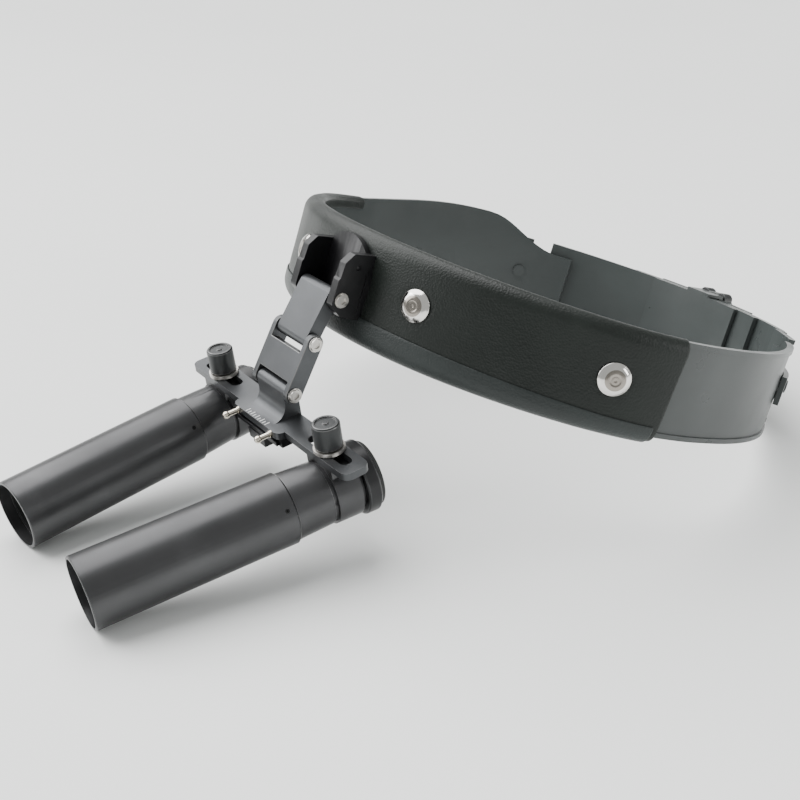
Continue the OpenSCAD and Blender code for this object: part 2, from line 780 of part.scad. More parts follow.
// The bracket hangs under the bar and holds the barrel's neck in a ring
module bracket(side) {
    top = -bar_t - bar_gap;
    color(anodised) difference() {
        union() {
            on_slot(side) translate([-7, -bar_depth / 2 + 0.3, -axis_drop])
                cube([14, bar_depth - 0.6, axis_drop + top]);
            in_barrel(side) translate([0, 0, clamp_at - clamp_half])
                cylinder(r = axis_drop + top, h = 2 * clamp_half);
        }
        in_barrel(side) cylinder(r = neck_r + 0.02, h = 120);
        in_barrel(side) rotate([0, 0, clamp_turn]) translate([0, 0, clamp_at]) bar_x(0.82, 5, 20);
        on_slot(side) translate([0, 0, -12]) cylinder(r = shank_r + run, h = 20);
    }
}

// A grub screw in the ring holds the neck
module clamp_screw(side) {
    ring_r = axis_drop - bar_t - bar_gap;
    color(black_metal) in_barrel(side) rotate([0, 0, clamp_turn]) translate([0, 0, clamp_at])
        difference() {
            bar_x(0.8, neck_r + 0.03, ring_r + 0.1);
            bar_x(0.4, ring_r - 0.4, ring_r + 1, 6);
        }
}

module sleeve(side) {
    color(anodised) in_barrel(side) difference() {
        union() {
            translate([0, 0, 0.3]) cylinder(r = sleeve_r, h = sleeve_len - 0.9);
            cylinder(r1 = sleeve_r - 0.25, r2 = sleeve_r, h = 0.3);
            translate([0, 0, sleeve_len - 0.6]) cylinder(r1 = sleeve_r, r2 = sleeve_r - 0.6, h = 0.6);
        }
        translate([0, 0, -1]) cylinder(r = mouth_r, h = mouth_depth + 1);
        cylinder(r = seat_r, h = lens_at + lens_t);
        cylinder(r = thread_r - 0.2, h = sleeve_len - 8);
        translate([0, 0, sleeve_len - 8.1]) cylinder(r = thread_r + 0.02, h = 20);
        set_screw_holes();
    }
}

module set_screw_holes() {
    for (a = [30, 150, 270]) rotate([0, 0, -a]) translate([0, 0, sleeve_len - 3]) bar_x(0.75, 8, 20);
}

module set_screws(side) {
    color(black_metal) in_barrel(side) for (a = [30, 150, 270]) rotate([0, 0, -a])
        translate([0, 0, sleeve_len - 3]) difference() {
            bar_x(0.72, thread_r + 0.05, sleeve_r - 0.15);
            bar_x(0.4, sleeve_r - 0.7, sleeve_r + 1, 6);
        }
}

module objective(side) {
    curve_r = 42;
    color(glass_col) in_barrel(side) intersection() {
        translate([0, 0, lens_at]) cylinder(r = lens_r, h = lens_t);
        translate([0, 0, lens_at + curve_r]) sphere(r = curve_r, $fn = 128);
        translate([0, 0, lens_at + lens_t - curve_r]) sphere(r = curve_r, $fn = 128);
    }
}

module lens_ring(side) {
    color(black_metal) in_barrel(side) ring(9.2, seat_r - 0.02, mouth_depth + 0.1, lens_at + 0.9);
}

module neck(side) {
    z0 = sleeve_len - 8;
    grip = [clamp_at - clamp_half - 1.2, clamp_at + clamp_half + 0.5];
    color(anodised) in_barrel(side) difference() {
        union() {
            translate([0, 0, z0]) cylinder(r = thread_r, h = 8 + eps);
            translate([0, 0, sleeve_len + 0.02]) cylinder(r1 = 10.8, r2 = 10.3, h = grip[0] - sleeve_len);
            translate([0, 0, grip[0] - eps]) cylinder(r = neck_r, h = grip[1] - grip[0]);
            translate([0, 0, grip[1] - 2 * eps]) cylinder(r = 9.4, h = eye_at - grip[1] + eps);
        }
        translate([0, 0, z0 - 1]) cylinder(r = neck_bore, h = 60);
    }
}

// A roof prism block with its two slanted end faces
module prism(side) {
    w = 11.2;
    slant = 2.6;
    color(glass_col) in_barrel(side) translate([-w / 2, 0, 62]) rotate([90, 0, 90]) linear_extrude(w)
        polygon([[-w / 2, slant], [w / 2, 0], [w / 2, 17 - slant], [-w / 2, 17]]);
}

module field_stop(side) {
    color(black_metal) in_barrel(side) ring(3.6, neck_bore - 0.03, 80.4, 81.4);
}

module eyepiece(side) {
    color(black_metal) in_barrel(side) difference() {
        union() {
            translate([0, 0, 83]) cylinder(r = neck_bore - 0.03, h = eye_at - 83 + 0.1);
            translate([0, 0, eye_at]) cylinder(r1 = eye_r - 0.5, r2 = eye_r, h = 0.5);
            translate([0, 0, eye_at + 0.5]) cylinder(r = eye_r, h = eye_end - eye_at - 1.1);
            translate([0, 0, eye_end - 0.6]) cylinder(r1 = eye_r, r2 = eye_r - 0.6, h = 0.6);
        }
        translate([0, 0, 80]) cylinder(r = 6.4, h = 6);
        translate([0, 0, 84.6]) cylinder(r = 7.4, h = 20);
    }
}

module eye_lens(side) {
    color(glass_col) in_barrel(side) intersection() {
        translate([0, 0, 84.6]) cylinder(r = 7.36, h = 5);
        translate([0, 0, 89.6 - 20]) sphere(r = 20, $fn = 96);
    }
}

module eyecup(side) {
    color(rubber_col) in_barrel(side) difference() {
        union() {
            translate([0, 0, eye_end + 0.02])
                cylinder(r1 = eye_r - 0.7, r2 = eye_r - 1.4, h = cup_end - eye_end);
            translate([0, 0, 90.4]) cylinder(r = 7.37, h = 3);
        }
        translate([0, 0, 88]) cylinder(r = 6.3, h = 20);
    }
}

module thumb_screw(side) {
    color(black_metal) on_slot(side) difference() {
        union() {
            translate([0, 0, washer_z[1] + 0.05]) cylinder(r1 = thumb_r - 0.4, r2 = thumb_r, h = 0.4);
            translate([0, 0, washer_z[1] + 0.45]) cylinder(r = thumb_r, h = thumb_h - 0.9);
            translate([0, 0, thumb_top - 0.5]) cylinder(r1 = thumb_r, r2 = thumb_r - 0.45, h = 0.5);
            translate([0, 0, shank_end]) cylinder(r = shank_r, h = 6);
        }
        difference() {
            translate([0, 0, thumb_top - 0.5]) cylinder(r = 3.3, h = 2);
            translate([0, 0, thumb_top - 1]) cylinder(r = 0.9, h = 0.9);
        }
    }
}

module washer(side) {
    color(steel) on_slot(side) ring(shank_r + run, 5, washer_z[0], washer_z[1]);
}

// ---------- nodes ----------

module barrel_nodes(side, name) {
    bracket(side);
    clamp_screw(side);
    sleeve(side);
    objective(side);
    lens_ring(side);
    neck(side);
    prism(side);
    field_stop(side);
    eyepiece(side);
    eye_lens(side);
    eyecup(side);
    set_screws(side);
    thumb_screw(side);
    washer(side);
}

front_band();
leather_cover();
rivet_caps();
rivet_backs();
mount_fork();
mount_screws();
band_studs();
housing_cover();
housing_base();
housing_screws();
ratchet_ring();
strap_left();
strap_right();
ratchet_knob();
knob_pinion();
knob_screw();
pawl_spring();
upper_hinge_pin();
upper_hinge_nut();
upper_link();
middle_hinge_pin();
middle_hinge_nut();
lower_link();
lower_hinge_pin();
lower_hinge_nut();
bridge_bar();
guide_rail();
ball_pins();
barrel_nodes(1, "left");
barrel_nodes(-1, "right");
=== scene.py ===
"""Looks of the telescopic dental loupes: leather, plastic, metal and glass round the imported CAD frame.

Lengths of the band, the cover, the rivets and the bridge are millimetres in their own frames, and MM
turns them into metres. The stage and the depths of bumps are in metres, and textures' scales are
waves in a metre.
"""

import json
import math

import bmesh
import bpy
from mathutils import Matrix, Vector, noise

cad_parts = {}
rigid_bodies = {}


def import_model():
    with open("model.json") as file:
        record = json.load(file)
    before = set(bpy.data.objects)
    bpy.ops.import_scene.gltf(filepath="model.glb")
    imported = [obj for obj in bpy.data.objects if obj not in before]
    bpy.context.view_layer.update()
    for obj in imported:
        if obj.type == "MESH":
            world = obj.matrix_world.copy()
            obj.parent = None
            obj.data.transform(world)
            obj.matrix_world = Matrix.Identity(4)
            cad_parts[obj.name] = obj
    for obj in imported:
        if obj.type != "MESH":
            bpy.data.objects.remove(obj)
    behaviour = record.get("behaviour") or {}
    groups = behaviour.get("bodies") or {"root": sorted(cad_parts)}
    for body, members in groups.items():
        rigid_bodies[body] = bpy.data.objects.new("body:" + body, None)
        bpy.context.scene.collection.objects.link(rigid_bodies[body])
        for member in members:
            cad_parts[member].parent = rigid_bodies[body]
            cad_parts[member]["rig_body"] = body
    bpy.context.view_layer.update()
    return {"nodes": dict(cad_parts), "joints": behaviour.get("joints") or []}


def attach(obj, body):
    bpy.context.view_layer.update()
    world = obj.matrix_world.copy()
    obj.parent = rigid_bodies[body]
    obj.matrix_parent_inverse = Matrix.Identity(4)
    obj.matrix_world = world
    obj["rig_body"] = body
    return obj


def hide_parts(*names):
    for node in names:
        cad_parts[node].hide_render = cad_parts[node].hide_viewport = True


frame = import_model()

MM = 0.001
JOINTS = {joint["name"]: joint for joint in frame["joints"]}


# ---------- the band's frame and its outline, as in the CAD model ----------

BAND_FRONT = 80.1          # from the band's widest place to its front
BAND_HALF_W = 92.2
BAND_STRAIGHT = 6.3        # between the side arcs and the rear arc
SIDE_R = 70.0
SIDE_X = BAND_HALF_W - SIDE_R
FRONT_R = (SIDE_X ** 2 + BAND_FRONT ** 2 - SIDE_R ** 2) / (2 * (BAND_FRONT - SIDE_R))
FRONT_Y = FRONT_R - BAND_FRONT
ARC_CHANGE = math.atan2(SIDE_X, FRONT_Y)   # where the front arc meets a side arc
BAND_OUTER = -2.15         # the band's faces, measured outwards from the outline
BAND_INNER = -3.95
BAND_TOP = 14.6            # above the band's middle
BAND_LOW = 16.4            # below it


def band_matrix():
    """The band's frame: X across the head, Y along the band to the back, Z square to both."""
    joint = JOINTS["left_strap_take_up"]
    up = Vector(joint["axis"]).normalized()
    across = Vector((1, 0, 0))
    back = up.cross(across).normalized()
    origin = Vector(joint["pos_m"]) - back * BAND_STRAIGHT * MM
    turn = Matrix((across, back, up)).transposed()
    return Matrix.Translation(origin) @ turn.to_4x4()


BAND = band_matrix()


def band_point(phi, out, height):
    """A point of the front half: phi from the front towards +X, out from the outline, height along Z."""
    side = math.copysign(1, phi)
    if abs(phi) < ARC_CHANGE:
        x = (FRONT_R + out) * math.sin(phi)
        y = FRONT_Y - (FRONT_R + out) * math.cos(phi)
    else:
        x = side * SIDE_X + (SIDE_R + out) * math.sin(phi)
        y = -(SIDE_R + out) * math.cos(phi)
    return BAND @ Vector((x * MM, y * MM, height * MM))


def band_outward(phi):
    return (BAND.to_3x3() @ Vector((math.sin(phi), -math.cos(phi), 0))).normalized()


# ---------- materials ----------

def new_material(name):
    material = bpy.data.materials.new(name)
    material.use_nodes = True
    material.node_tree.nodes.clear()
    return material


class Shader:
    """A Principled surface whose colour, roughness and bump come from layered procedural textures."""

    def __init__(self, name, **values):
        self.material = new_material(name)
        self.tree = self.material.node_tree
        self.bsdf = self.add("ShaderNodeBsdfPrincipled")
        output = self.add("ShaderNodeOutputMaterial")
        self.tree.links.new(self.bsdf.outputs[0], output.inputs["Surface"])
        self.coords = self.add("ShaderNodeTexCoord").outputs["Object"]
        self.height = None
        for key, value in values.items():
            socket = key.replace("_", " ").title().replace("Ior", "IOR")
            self.bsdf.inputs[socket].default_value = value

    def add(self, kind):
        return self.tree.nodes.new(kind)

    def link(self, a, b):
        self.tree.links.new(a, b)

    def stretched(self, scale):
        mapping = self.add("ShaderNodeMapping")
        mapping.inputs["Scale"].default_value = scale
        self.link(self.coords, mapping.inputs["Vector"])
        return mapping.outputs[0]

    def noise(self, scale, detail=4.0, rough=0.55, coords=None):
        node = self.add("ShaderNodeTexNoise")
        node.inputs["Scale"].default_value = scale
        node.inputs["Detail"].default_value = detail
        node.inputs["Roughness"].default_value = rough
        self.link(coords or self.coords, node.inputs["Vector"])
        return node.outputs["Fac"]

    def cells(self, scale):
        node = self.add("ShaderNodeTexVoronoi")
        node.inputs["Scale"].default_value = scale
        self.link(self.coords, node.inputs["Vector"])
        return node.outputs["Distance"]

    def spread(self, value, low, high, out_low, out_high):
        """Maps the range from low to high onto the range from out_low to out_high."""
        node = self.add("ShaderNodeMapRange")
        limits = {"From Min": low, "From Max": high, "To Min": out_low, "To Max": out_high}
        for key, number in limits.items():
            node.inputs[key].default_value = number
        self.link(value, node.inputs["Value"])
        return node.outputs[0]

    def colour(self, value, *stops):
        """Colours the surface by a ramp of (place, colour) stops."""
        ramp = self.add("ShaderNodeValToRGB")
        elements = ramp.color_ramp.elements
        while len(elements) < len(stops):
            elements.new(0.5)
        for element, (place, rgb) in zip(elements, stops):
            element.position = place
            element.color = (*rgb, 1)
        self.link(value, ramp.inputs["Fac"])
        self.link(ramp.outputs["Color"], self.bsdf.inputs["Base Color"])

    def rough(self, value, low, high):
        self.link(self.spread(value, 0.3, 0.7, low, high), self.bsdf.inputs["Roughness"])

    def bump(self, value, depth, strength):
        """Lays one more bump over those before it."""
        node = self.add("ShaderNodeBump")
        node.inputs["Strength"].default_value = strength
        node.inputs["Distance"].default_value = depth
        self.link(value, node.inputs["Height"])
        if self.height:
            self.link(self.height, node.inputs["Normal"])
        self.height = node.outputs[0]
        self.link(self.height, self.bsdf.inputs["Normal"])


def shade(rgb, k):
    return tuple(channel * k for channel in rgb)


def leather(name, rgb):
    """Fine pebbled grain with soft creases and slightly polished high spots."""
    s = Shader(name, specular_ior_level=0.28, sheen_weight=0.02, sheen_roughness=0.5)
    blotch = s.noise(38, 5)
    s.colour(blotch, (0.3, shade(rgb, 0.82)), (0.5, rgb), (0.72, shade(rgb, 1.28)))
    s.rough(blotch, 0.36, 0.48)
    s.bump(s.noise(120, 5, 0.6, s.stretched((1, 1, 0.5))), 0.00035, 0.4)
    s.bump(s.cells(1500), 0.00016, 0.6)
    s.bump(s.noise(2600, 3), 0.00005, 0.5)
    return s.material


def moulded(name, rgb, rough=(0.34, 0.46)):
    """Satin moulded plastic: faint flow marks, a fine spark-eroded texture and hairline scratches."""
    s = Shader(name, specular_ior_level=0.5)
    flow = s.noise(14, 4, coords=s.stretched((1, 1, 2.4)))
    s.colour(flow, (0.35, shade(rgb, 0.88)), (0.65, shade(rgb, 1.12)))
    s.rough(s.noise(45, 5), *rough)
    s.bump(s.noise(3200, 2), 0.00002, 0.4)
    s.bump(s.noise(60, 6, 0.7, s.stretched((1, 1, 6))), 0.00002, 0.3)
    return s.material


def anodised(name, rgb, rough=(0.36, 0.46), metallic=0.55):
    """Bead-blasted, anodised aluminium with handling marks."""
    s = Shader(name, metallic=metallic, specular_ior_level=0.5)
    wear = s.noise(30, 6, 0.62)
    s.colour(wear, (0.3, shade(rgb, 0.85)), (0.55, rgb), (0.78, shade(rgb, 1.3)))
    s.rough(s.noise(75, 5), *rough)
    s.bump(s.noise(4200, 2), 0.00002, 0.5)
    s.bump(s.noise(420, 5, 0.7), 0.00001, 0.35)
    return s.material


def bare_metal(name, rgb, rough=(0.12, 0.24)):
    """Plated or turned metal with fine tool marks and smudges."""
    s = Shader(name, metallic=1.0)
    smudge = s.noise(190, 5)
    s.colour(smudge, (0.3, shade(rgb, 0.9)), (0.7, rgb))
    s.rough(smudge, *rough)
    s.bump(s.noise(900, 4, 0.6), 0.00001, 0.2)
    return s.material


def rubber(name, rgb):
    s = Shader(name, specular_ior_level=0.35)
    dust = s.noise(320, 6, 0.7)
    s.colour(dust, (0.35, rgb), (0.8, shade(rgb, 1.8)))
    s.rough(dust, 0.6, 0.75)
    s.bump(s.noise(2400, 3), 0.00004, 0.6)
    return s.material


def coated_glass(name, rgb):
    s = Shader(name, transmission_weight=1.0, ior=1.52, coat_weight=0.35, coat_roughness=0.03)
    film = s.noise(60, 3)
    s.colour(film, (0.35, rgb), (0.65, shade(rgb, 0.94)))
    s.rough(film, 0.01, 0.03)
    return s.material


def painted_mark(name, rgb):
    s = Shader(name, specular_ior_level=0.4)
    worn = s.noise(1500, 5)
    s.colour(worn, (0.3, shade(rgb, 0.75)), (0.55, rgb))
    s.rough(worn, 0.4, 0.6)
    s.bump(worn, 0.00001, 0.4)
    return s.material


def studio_paper(name, rgb):
    s = Shader(name, specular_ior_level=0.2)
    tone = s.noise(3, 3)
    s.colour(tone, (0.3, shade(rgb, 0.985)), (0.7, rgb))
    s.rough(tone, 0.55, 0.65)
    return s.material


LEATHER = leather("cover_leather_grain", (0.0085, 0.0115, 0.0095))
# the lower strip: the same leather painted lighter, a painted reflection of the pale floor
FLAP = leather("cover_leather_flap_painted_reflection", (0.024, 0.029, 0.028))
PLASTIC = moulded("band_plastic_satin", (0.046, 0.053, 0.052), (0.26, 0.38))
# the bevels' plastic, lighter than the faces': a painted highlight on the edges
PLASTIC_EDGE_HIGHLIGHT = moulded("band_plastic_edge_painted_highlight", (0.060, 0.066, 0.064), (0.24, 0.32))
KNOB = moulded("knob_plastic", (0.016, 0.017, 0.018), (0.32, 0.42))
ALUMINIUM = anodised("anodised_grey", (0.070, 0.073, 0.077), (0.30, 0.40), 0.7)
# the bevels' aluminium, lighter than the faces': a painted highlight on the edges
ALUMINIUM_EDGE_HIGHLIGHT = anodised("anodised_edge_painted_highlight", (0.15, 0.15, 0.15), (0.26, 0.36), 0.8)
TUBE = anodised("anodised_tube", (0.070, 0.070, 0.072), (0.30, 0.40), 0.8)
# the sleeves' bevels, far lighter than the tube: a painted highlight on the rims
TUBE_RIM_HIGHLIGHT = anodised("anodised_rim_painted_highlight", (0.42, 0.41, 0.39), (0.25, 0.35), 0.95)
BLACK = anodised("black_mount_finish", (0.007, 0.007, 0.008), (0.3, 0.4), 0.3)
# the black parts' bevels, lighter than their faces: a painted highlight on the edges
BLACK_EDGE_HIGHLIGHT = anodised("black_mount_edge_painted_highlight", (0.045, 0.046, 0.048), (0.22, 0.32), 0.5)
THUMB = anodised("thumb_black_finish", (0.030, 0.032, 0.033), (0.34, 0.44), 0.4)
CHROME = bare_metal("rivet_chrome", (0.74, 0.72, 0.69), (0.10, 0.2))
# the rivets' dome middles: chrome painted darker, a painted reflection
CHROME_DARK_REFLECTION = bare_metal("rivet_chrome_painted_dark_reflection", (0.30, 0.275, 0.245), (0.16, 0.28))
STEEL = bare_metal("screw_steel_turned", (0.56, 0.54, 0.51), (0.3, 0.42))
BRASS = bare_metal("pin_brass_polished", (0.76, 0.70, 0.60), (0.12, 0.22))
RUBBER = rubber("eyecup_rubber_matte", (0.016, 0.016, 0.016))
INNER = rubber("barrel_inner_black", (0.010, 0.010, 0.010))
GLASS = coated_glass("lens_glass", (0.93, 0.96, 0.97))
MARK = painted_mark("scale_paint", (0.75, 0.76, 0.75))
PAPER = studio_paper("studio_floor", (0.93, 0.94, 0.93))


# ---------- mesh helpers ----------

def link(obj):
    bpy.context.scene.collection.objects.link(obj)
    return obj


def mesh_object(name, bm, *materials, smooth=35):
    mesh = bpy.data.meshes.new(name)
    bm.to_mesh(mesh)
    bm.free()
    for material in materials:
        mesh.materials.append(material)
    finish_shading(mesh, smooth)
    return link(bpy.data.objects.new(name, mesh))


def finish_shading(mesh, angle):
    mesh.polygons.foreach_set("use_smooth", [True] * len(mesh.polygons))
    mesh.set_sharp_from_angle(angle=math.radians(angle))


def apply_modifiers(obj):
    """Replaces the object's mesh by what its modifiers make of it."""
    graph = bpy.context.evaluated_depsgraph_get()
    done = bpy.data.meshes.new_from_object(obj.evaluated_get(graph))
    old = obj.data
    obj.modifiers.clear()
    obj.data = done
    bpy.data.meshes.remove(old)


WELD = 2e-6                # vertices closer than this, in metres, are one
FLAT = 0.6                 # facets that meet at less than this angle, in degrees, become one
SHARP = 38                 # edges sharper than this are rounded


def softened(node, width, finish, edge):
    """Puts a copy of a CAD node with rounded edges, painted lighter as a highlight, in its place; width
    is in millimetres.
    """
    bm = bmesh.new()
    bm.from_mesh(frame["nodes"][node].data)
    bmesh.ops.remove_doubles(bm, verts=bm.verts, dist=WELD)
    bmesh.ops.dissolve_limit(bm, angle_limit=math.radians(FLAT), verts=bm.verts, edges=bm.edges)
    piece = mesh_object(node + "_finished", bm, finish, edge, smooth=30)
    bevel = piece.modifiers.new("edges", "BEVEL")
    bevel.width = width * MM
    bevel.segments = 2
    bevel.limit_method = "ANGLE"
    bevel.angle_limit = math.radians(SHARP)
    bevel.use_clamp_overlap = True
    # the bevels take the edge material, lighter than the faces: a painted highlight
    bevel.material = 1
    bevel.harden_normals = True
    apply_modifiers(piece)
    ride_for(piece, node)
    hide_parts(node)


def body_of(node):
    return frame["nodes"][node]["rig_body"]


def ride_for(piece, node):
    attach(piece, body_of(node))


def dress(node, material):
    """Gives a CAD node a material; its mesh stays as packed."""
    mesh = frame["nodes"][node].data
    mesh.materials.clear()
    mesh.materials.append(material)


# ---------- leather cover ----------

COVER_TOP_FRONT = 17.3     # height of the top edge at the front
COVER_TOP_END = 15.3       # and at the ends
COVER_LOW = 18.0           # depth of the lower edge
COVER_OUT = 1.4            # the CAD cover's outer face, outwards from the outline
COVER_END_Y = 19.5         # the ends, forwards from the band's widest place
COVER_END = math.acos(COVER_END_Y / (SIDE_R + COVER_OUT))
COVER_FACE = 1.7           # the outer face before it swells
HELD_FACE = 1.3            # the outer face under the rivets and the mount
WRAP_IN = -5.35            # the inner face of the turned-in edges
WRAP_TOP = 10.6            # height where the upper turned-in edge stops
WRAP_LOW = 12.4            # depth where the lower one stops
TURN_ROWS = 6              # rows of the rounding into a turned-in edge
FACE_ROWS = 11             # rows from the upper rounding to the seam
SEAM_FRONT = -9.0          # height of the seam at the front
SEAM_END = -12.4           # and at the ends
COLUMNS = 150
END_LEAN = 0.06            # degrees round the band that a cut end leans back for each millimetre up
RIVETS = [(-57.6, -0.8), (-18.2, 1.2), (18.2, 1.2), (57.6, -0.8)]   # degrees round the band, height
RIVET_HOLD = 4.7           # a rivet holds the leather down this far round its middle
PLATE_R = 13.0             # the mount's plate, with a round upper part
PLATE_W = 1.8              # height of the round part's middle
PLATE_FOOT = (12.3, -10.2)  # half width and lowest place of the plate's lower part
PLATE_EDGE = 0.4           # the leather rises this far inside the round part's edge


def ease(t):
    """Runs smoothly from 0 to 1 as t does."""
    return (1 - math.cos(math.pi * min(max(t, 0), 1))) / 2


def along_cover(phi):
    """0 at the front of the band and 1 at the cover's ends."""
    return ease(abs(phi) / COVER_END)


def cover_top(phi):
    return COVER_TOP_FRONT + (COVER_TOP_END - COVER_TOP_FRONT) * along_cover(phi)


def seam_height(phi):
    return SEAM_FRONT + (SEAM_END - SEAM_FRONT) * along_cover(phi)


def arc_points(centre, radii, start, end, count):
    points = []
    for i in range(count):
        a = math.radians(start + (end - start) * i / (count - 1))
        points.append((centre[0] + radii[0] * math.cos(a), centre[1] + radii[1] * math.sin(a)))
    return points


def skin_section(phi):
    """The cover's outer path as (out, height), from the upper turned-in edge round to the lower one.

    Also gives the row where the lower seam lies.
    """
    high = cover_top(phi)
    seam = seam_height(phi)
    shoulder, foot, inner_round = 4.6, 4.2, 2
    mid = -2.2
    top = high - shoulder
    low = COVER_LOW - foot
    path = [(WRAP_IN, WRAP_TOP), (WRAP_IN, (WRAP_TOP + high - inner_round) / 2)]
    path += arc_points((mid, high - inner_round), (mid - WRAP_IN, inner_round), 180, 90, TURN_ROWS)
    path += arc_points((mid, top), (COVER_FACE - mid, shoulder), 90, 0, 9)[1:]
    path += [(COVER_FACE, top + (seam - top) * i / FACE_ROWS) for i in range(1, FACE_ROWS + 1)]
    seam_row = len(path) - 1
    path.append((COVER_FACE - 0.05, (seam - low) / 2))
    path += arc_points((mid, -low), (COVER_FACE - mid, foot), 0, -90, 8)
    turn = arc_points((mid, inner_round - COVER_LOW), (mid - WRAP_IN, inner_round), -90, -180, TURN_ROWS)
    path += turn[1:]
    path += [(WRAP_IN, (inner_round - WRAP_LOW - COVER_LOW) / 2), (WRAP_IN, -WRAP_LOW)]
    return path, seam_row


def core_section(count):
    """The cover's inner path, which lies on the band, resampled to count points."""
    gap = 0.06
    inner, outer = BAND_INNER - gap, BAND_OUTER + gap
    top, low = BAND_TOP + gap, -BAND_LOW - gap
    corners = [(inner, WRAP_TOP), (inner, top), (outer, top)]
    corners += [(outer, low), (inner, low), (inner, -WRAP_LOW)]
    lengths = [math.dist(a, b) for a, b in zip(corners, corners[1:])]
    points = []
    for i in range(count):
        left = sum(lengths) * i / (count - 1)
        for (a, b), length in zip(zip(corners, corners[1:]), lengths):
            if left <= length + 1e-9:
                break
            left -= length
        t = min(left / length, 1)
        points.append((a[0] + (b[0] - a[0]) * t, a[1] + (b[1] - a[1]) * t))
    return points


def end_slant(height, sign):
    """The cover's cut end leans back towards its top, as an angle to add to phi."""
    return sign * math.radians(END_LEAN) * height


def held_down(phi, height):
    """Whether a place of the outer face lies under a rivet or the mount's plate."""
    for angle, rivet_height in RIVETS:
        radius = SIDE_R if abs(angle) > math.degrees(ARC_CHANGE) else FRONT_R
        if math.hypot(radius * (phi - math.radians(angle)), height - rivet_height) < RIVET_HOLD:
            return True
    across = FRONT_R * phi
    in_foot = abs(across) < PLATE_FOOT[0] and PLATE_FOOT[1] < height < PLATE_W
    return in_foot or math.hypot(across, height - PLATE_W) < PLATE_R - PLATE_EDGE


def tube(bm, loops):
    """Joins equal loops of vertices into a tube and closes its two flat ends."""
    count = len(loops[0])
    for a, b in zip(loops, loops[1:]):
        for r in range(count):
            n = (r + 1) % count
            bm.faces.new((a[r], a[n], b[n], b[r]))
    for loop in (loops[0], loops[-1]):
        for r in range(count // 2 - 1):
            bm.faces.new((loop[r], loop[r + 1], loop[-2 - r], loop[-1 - r]))
    bmesh.ops.recalc_face_normals(bm, faces=bm.faces)
    bm.verts.index_update()


def cover_column(bm, c, core, held):
    """One loop of the cover's section; adds the vertices that the simulation must not move to held."""
    phi = -COVER_END + 2 * COVER_END * c / COLUMNS
    sign = math.copysign(1, phi) * along_cover(phi)
    path = skin_section(phi)[0]
    column = []
    for r, (out, height) in enumerate(path + core[::-1]):
        on_face = r < len(path) and out > COVER_FACE - 1
        pressed = on_face and held_down(phi, height)
        if pressed:
            out = HELD_FACE
        column.append(bm.verts.new(band_point(phi + end_slant(height, sign), out, height)))
        turned_in = r == 0 or r >= len(path) - 1
        if pressed or turned_in or c in (0, COLUMNS):
            held.add(len(bm.verts) - 1)
    return column


def leather_cover():
    """A closed skin round the band's front, swollen while rivets, mount and edges hold it down."""
    path, seam_row = skin_section(0)
    rows = len(path)
    core = core_section(rows)
    bm = bmesh.new()
    held = set()
    tube(bm, [cover_column(bm, c, core, held) for c in range(COLUMNS + 1)])
    piece = mesh_object("leather_cover_skin", bm, LEATHER, smooth=60)
    swell(piece, held)
    crease(piece, 2 * rows, seam_row)
    flap = leather_flap(piece, rows, seam_row)
    for part in (piece, flap):
        subdivide(part)
        ride_for(part, "leather_cover")
    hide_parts("leather_cover")


SWELL_MOST = 1.3
SWELL_FRAMES = 20


def swell(piece, held):
    """Blows the skin up against its held vertices, and keeps the result within a small travel."""
    most = SWELL_MOST * MM
    start = [v.co.copy() for v in piece.data.vertices]
    group = piece.vertex_groups.new(name="held")
    group.add(sorted(held), 1.0, "REPLACE")
    cloth = piece.modifiers.new("cloth", "CLOTH")
    cloth.settings.vertex_group_mass = "held"
    cloth.settings.quality = 6
    cloth.settings.mass = 0.2
    cloth.settings.tension_stiffness = 18
    cloth.settings.compression_stiffness = 18
    cloth.settings.bending_stiffness = 1.2
    cloth.settings.use_pressure = True
    cloth.settings.uniform_pressure_force = 4
    cloth.settings.effector_weights.gravity = 0
    cloth.point_cache.frame_start = 1
    cloth.point_cache.frame_end = SWELL_FRAMES
    scene = bpy.context.scene
    for number in range(1, SWELL_FRAMES + 1):
        scene.frame_set(number)
    apply_modifiers(piece)
    scene.frame_set(1)
    for vert, rest in zip(piece.data.vertices, start):
        move = vert.co - rest
        if move.length > most:
            vert.co = rest + move * (most / move.length)
    piece.vertex_groups.clear()


CREASE_REACH = 34          # how far round the mount the deeper folds reach
FOLD = 0.16                # heights of the fine folds and of those round the mount
MOUNT_FOLD = 0.3


def rippled(place, across, up):
    """Smooth noise at a place, with so many waves in a metre across and up."""
    return noise.noise(Vector((place.x * across, place.y * across, place.z * up)))


def crease(piece, ring, seam_row):
    """Fine folds over the face of the leather, deeper where it is pulled round the mount."""
    mount = band_point(0, 0, 0)
    crest = 2 + TURN_ROWS
    for index, vert in enumerate(piece.data.vertices):
        row = index % ring
        if not crest < row < seam_row:
            continue
        near = max(0, 1 - (vert.co - mount).length / (CREASE_REACH * MM))
        wide = rippled(vert.co, 90, 45)
        sharp = 1 - 2 * abs(rippled(vert.co, 240, 110))
        vert.co += vert.normal * (FOLD * wide + MOUNT_FOLD * near * sharp) * MM


FLAP_UNDER = 0.1           # the strip's two faces, outwards from the skin
FLAP_OVER = 0.55
FLAP_MARGIN = 2            # columns left free at each end of the cover
FLAP_STOP = 4              # rows of the lower turned-in edge that the strip leaves free


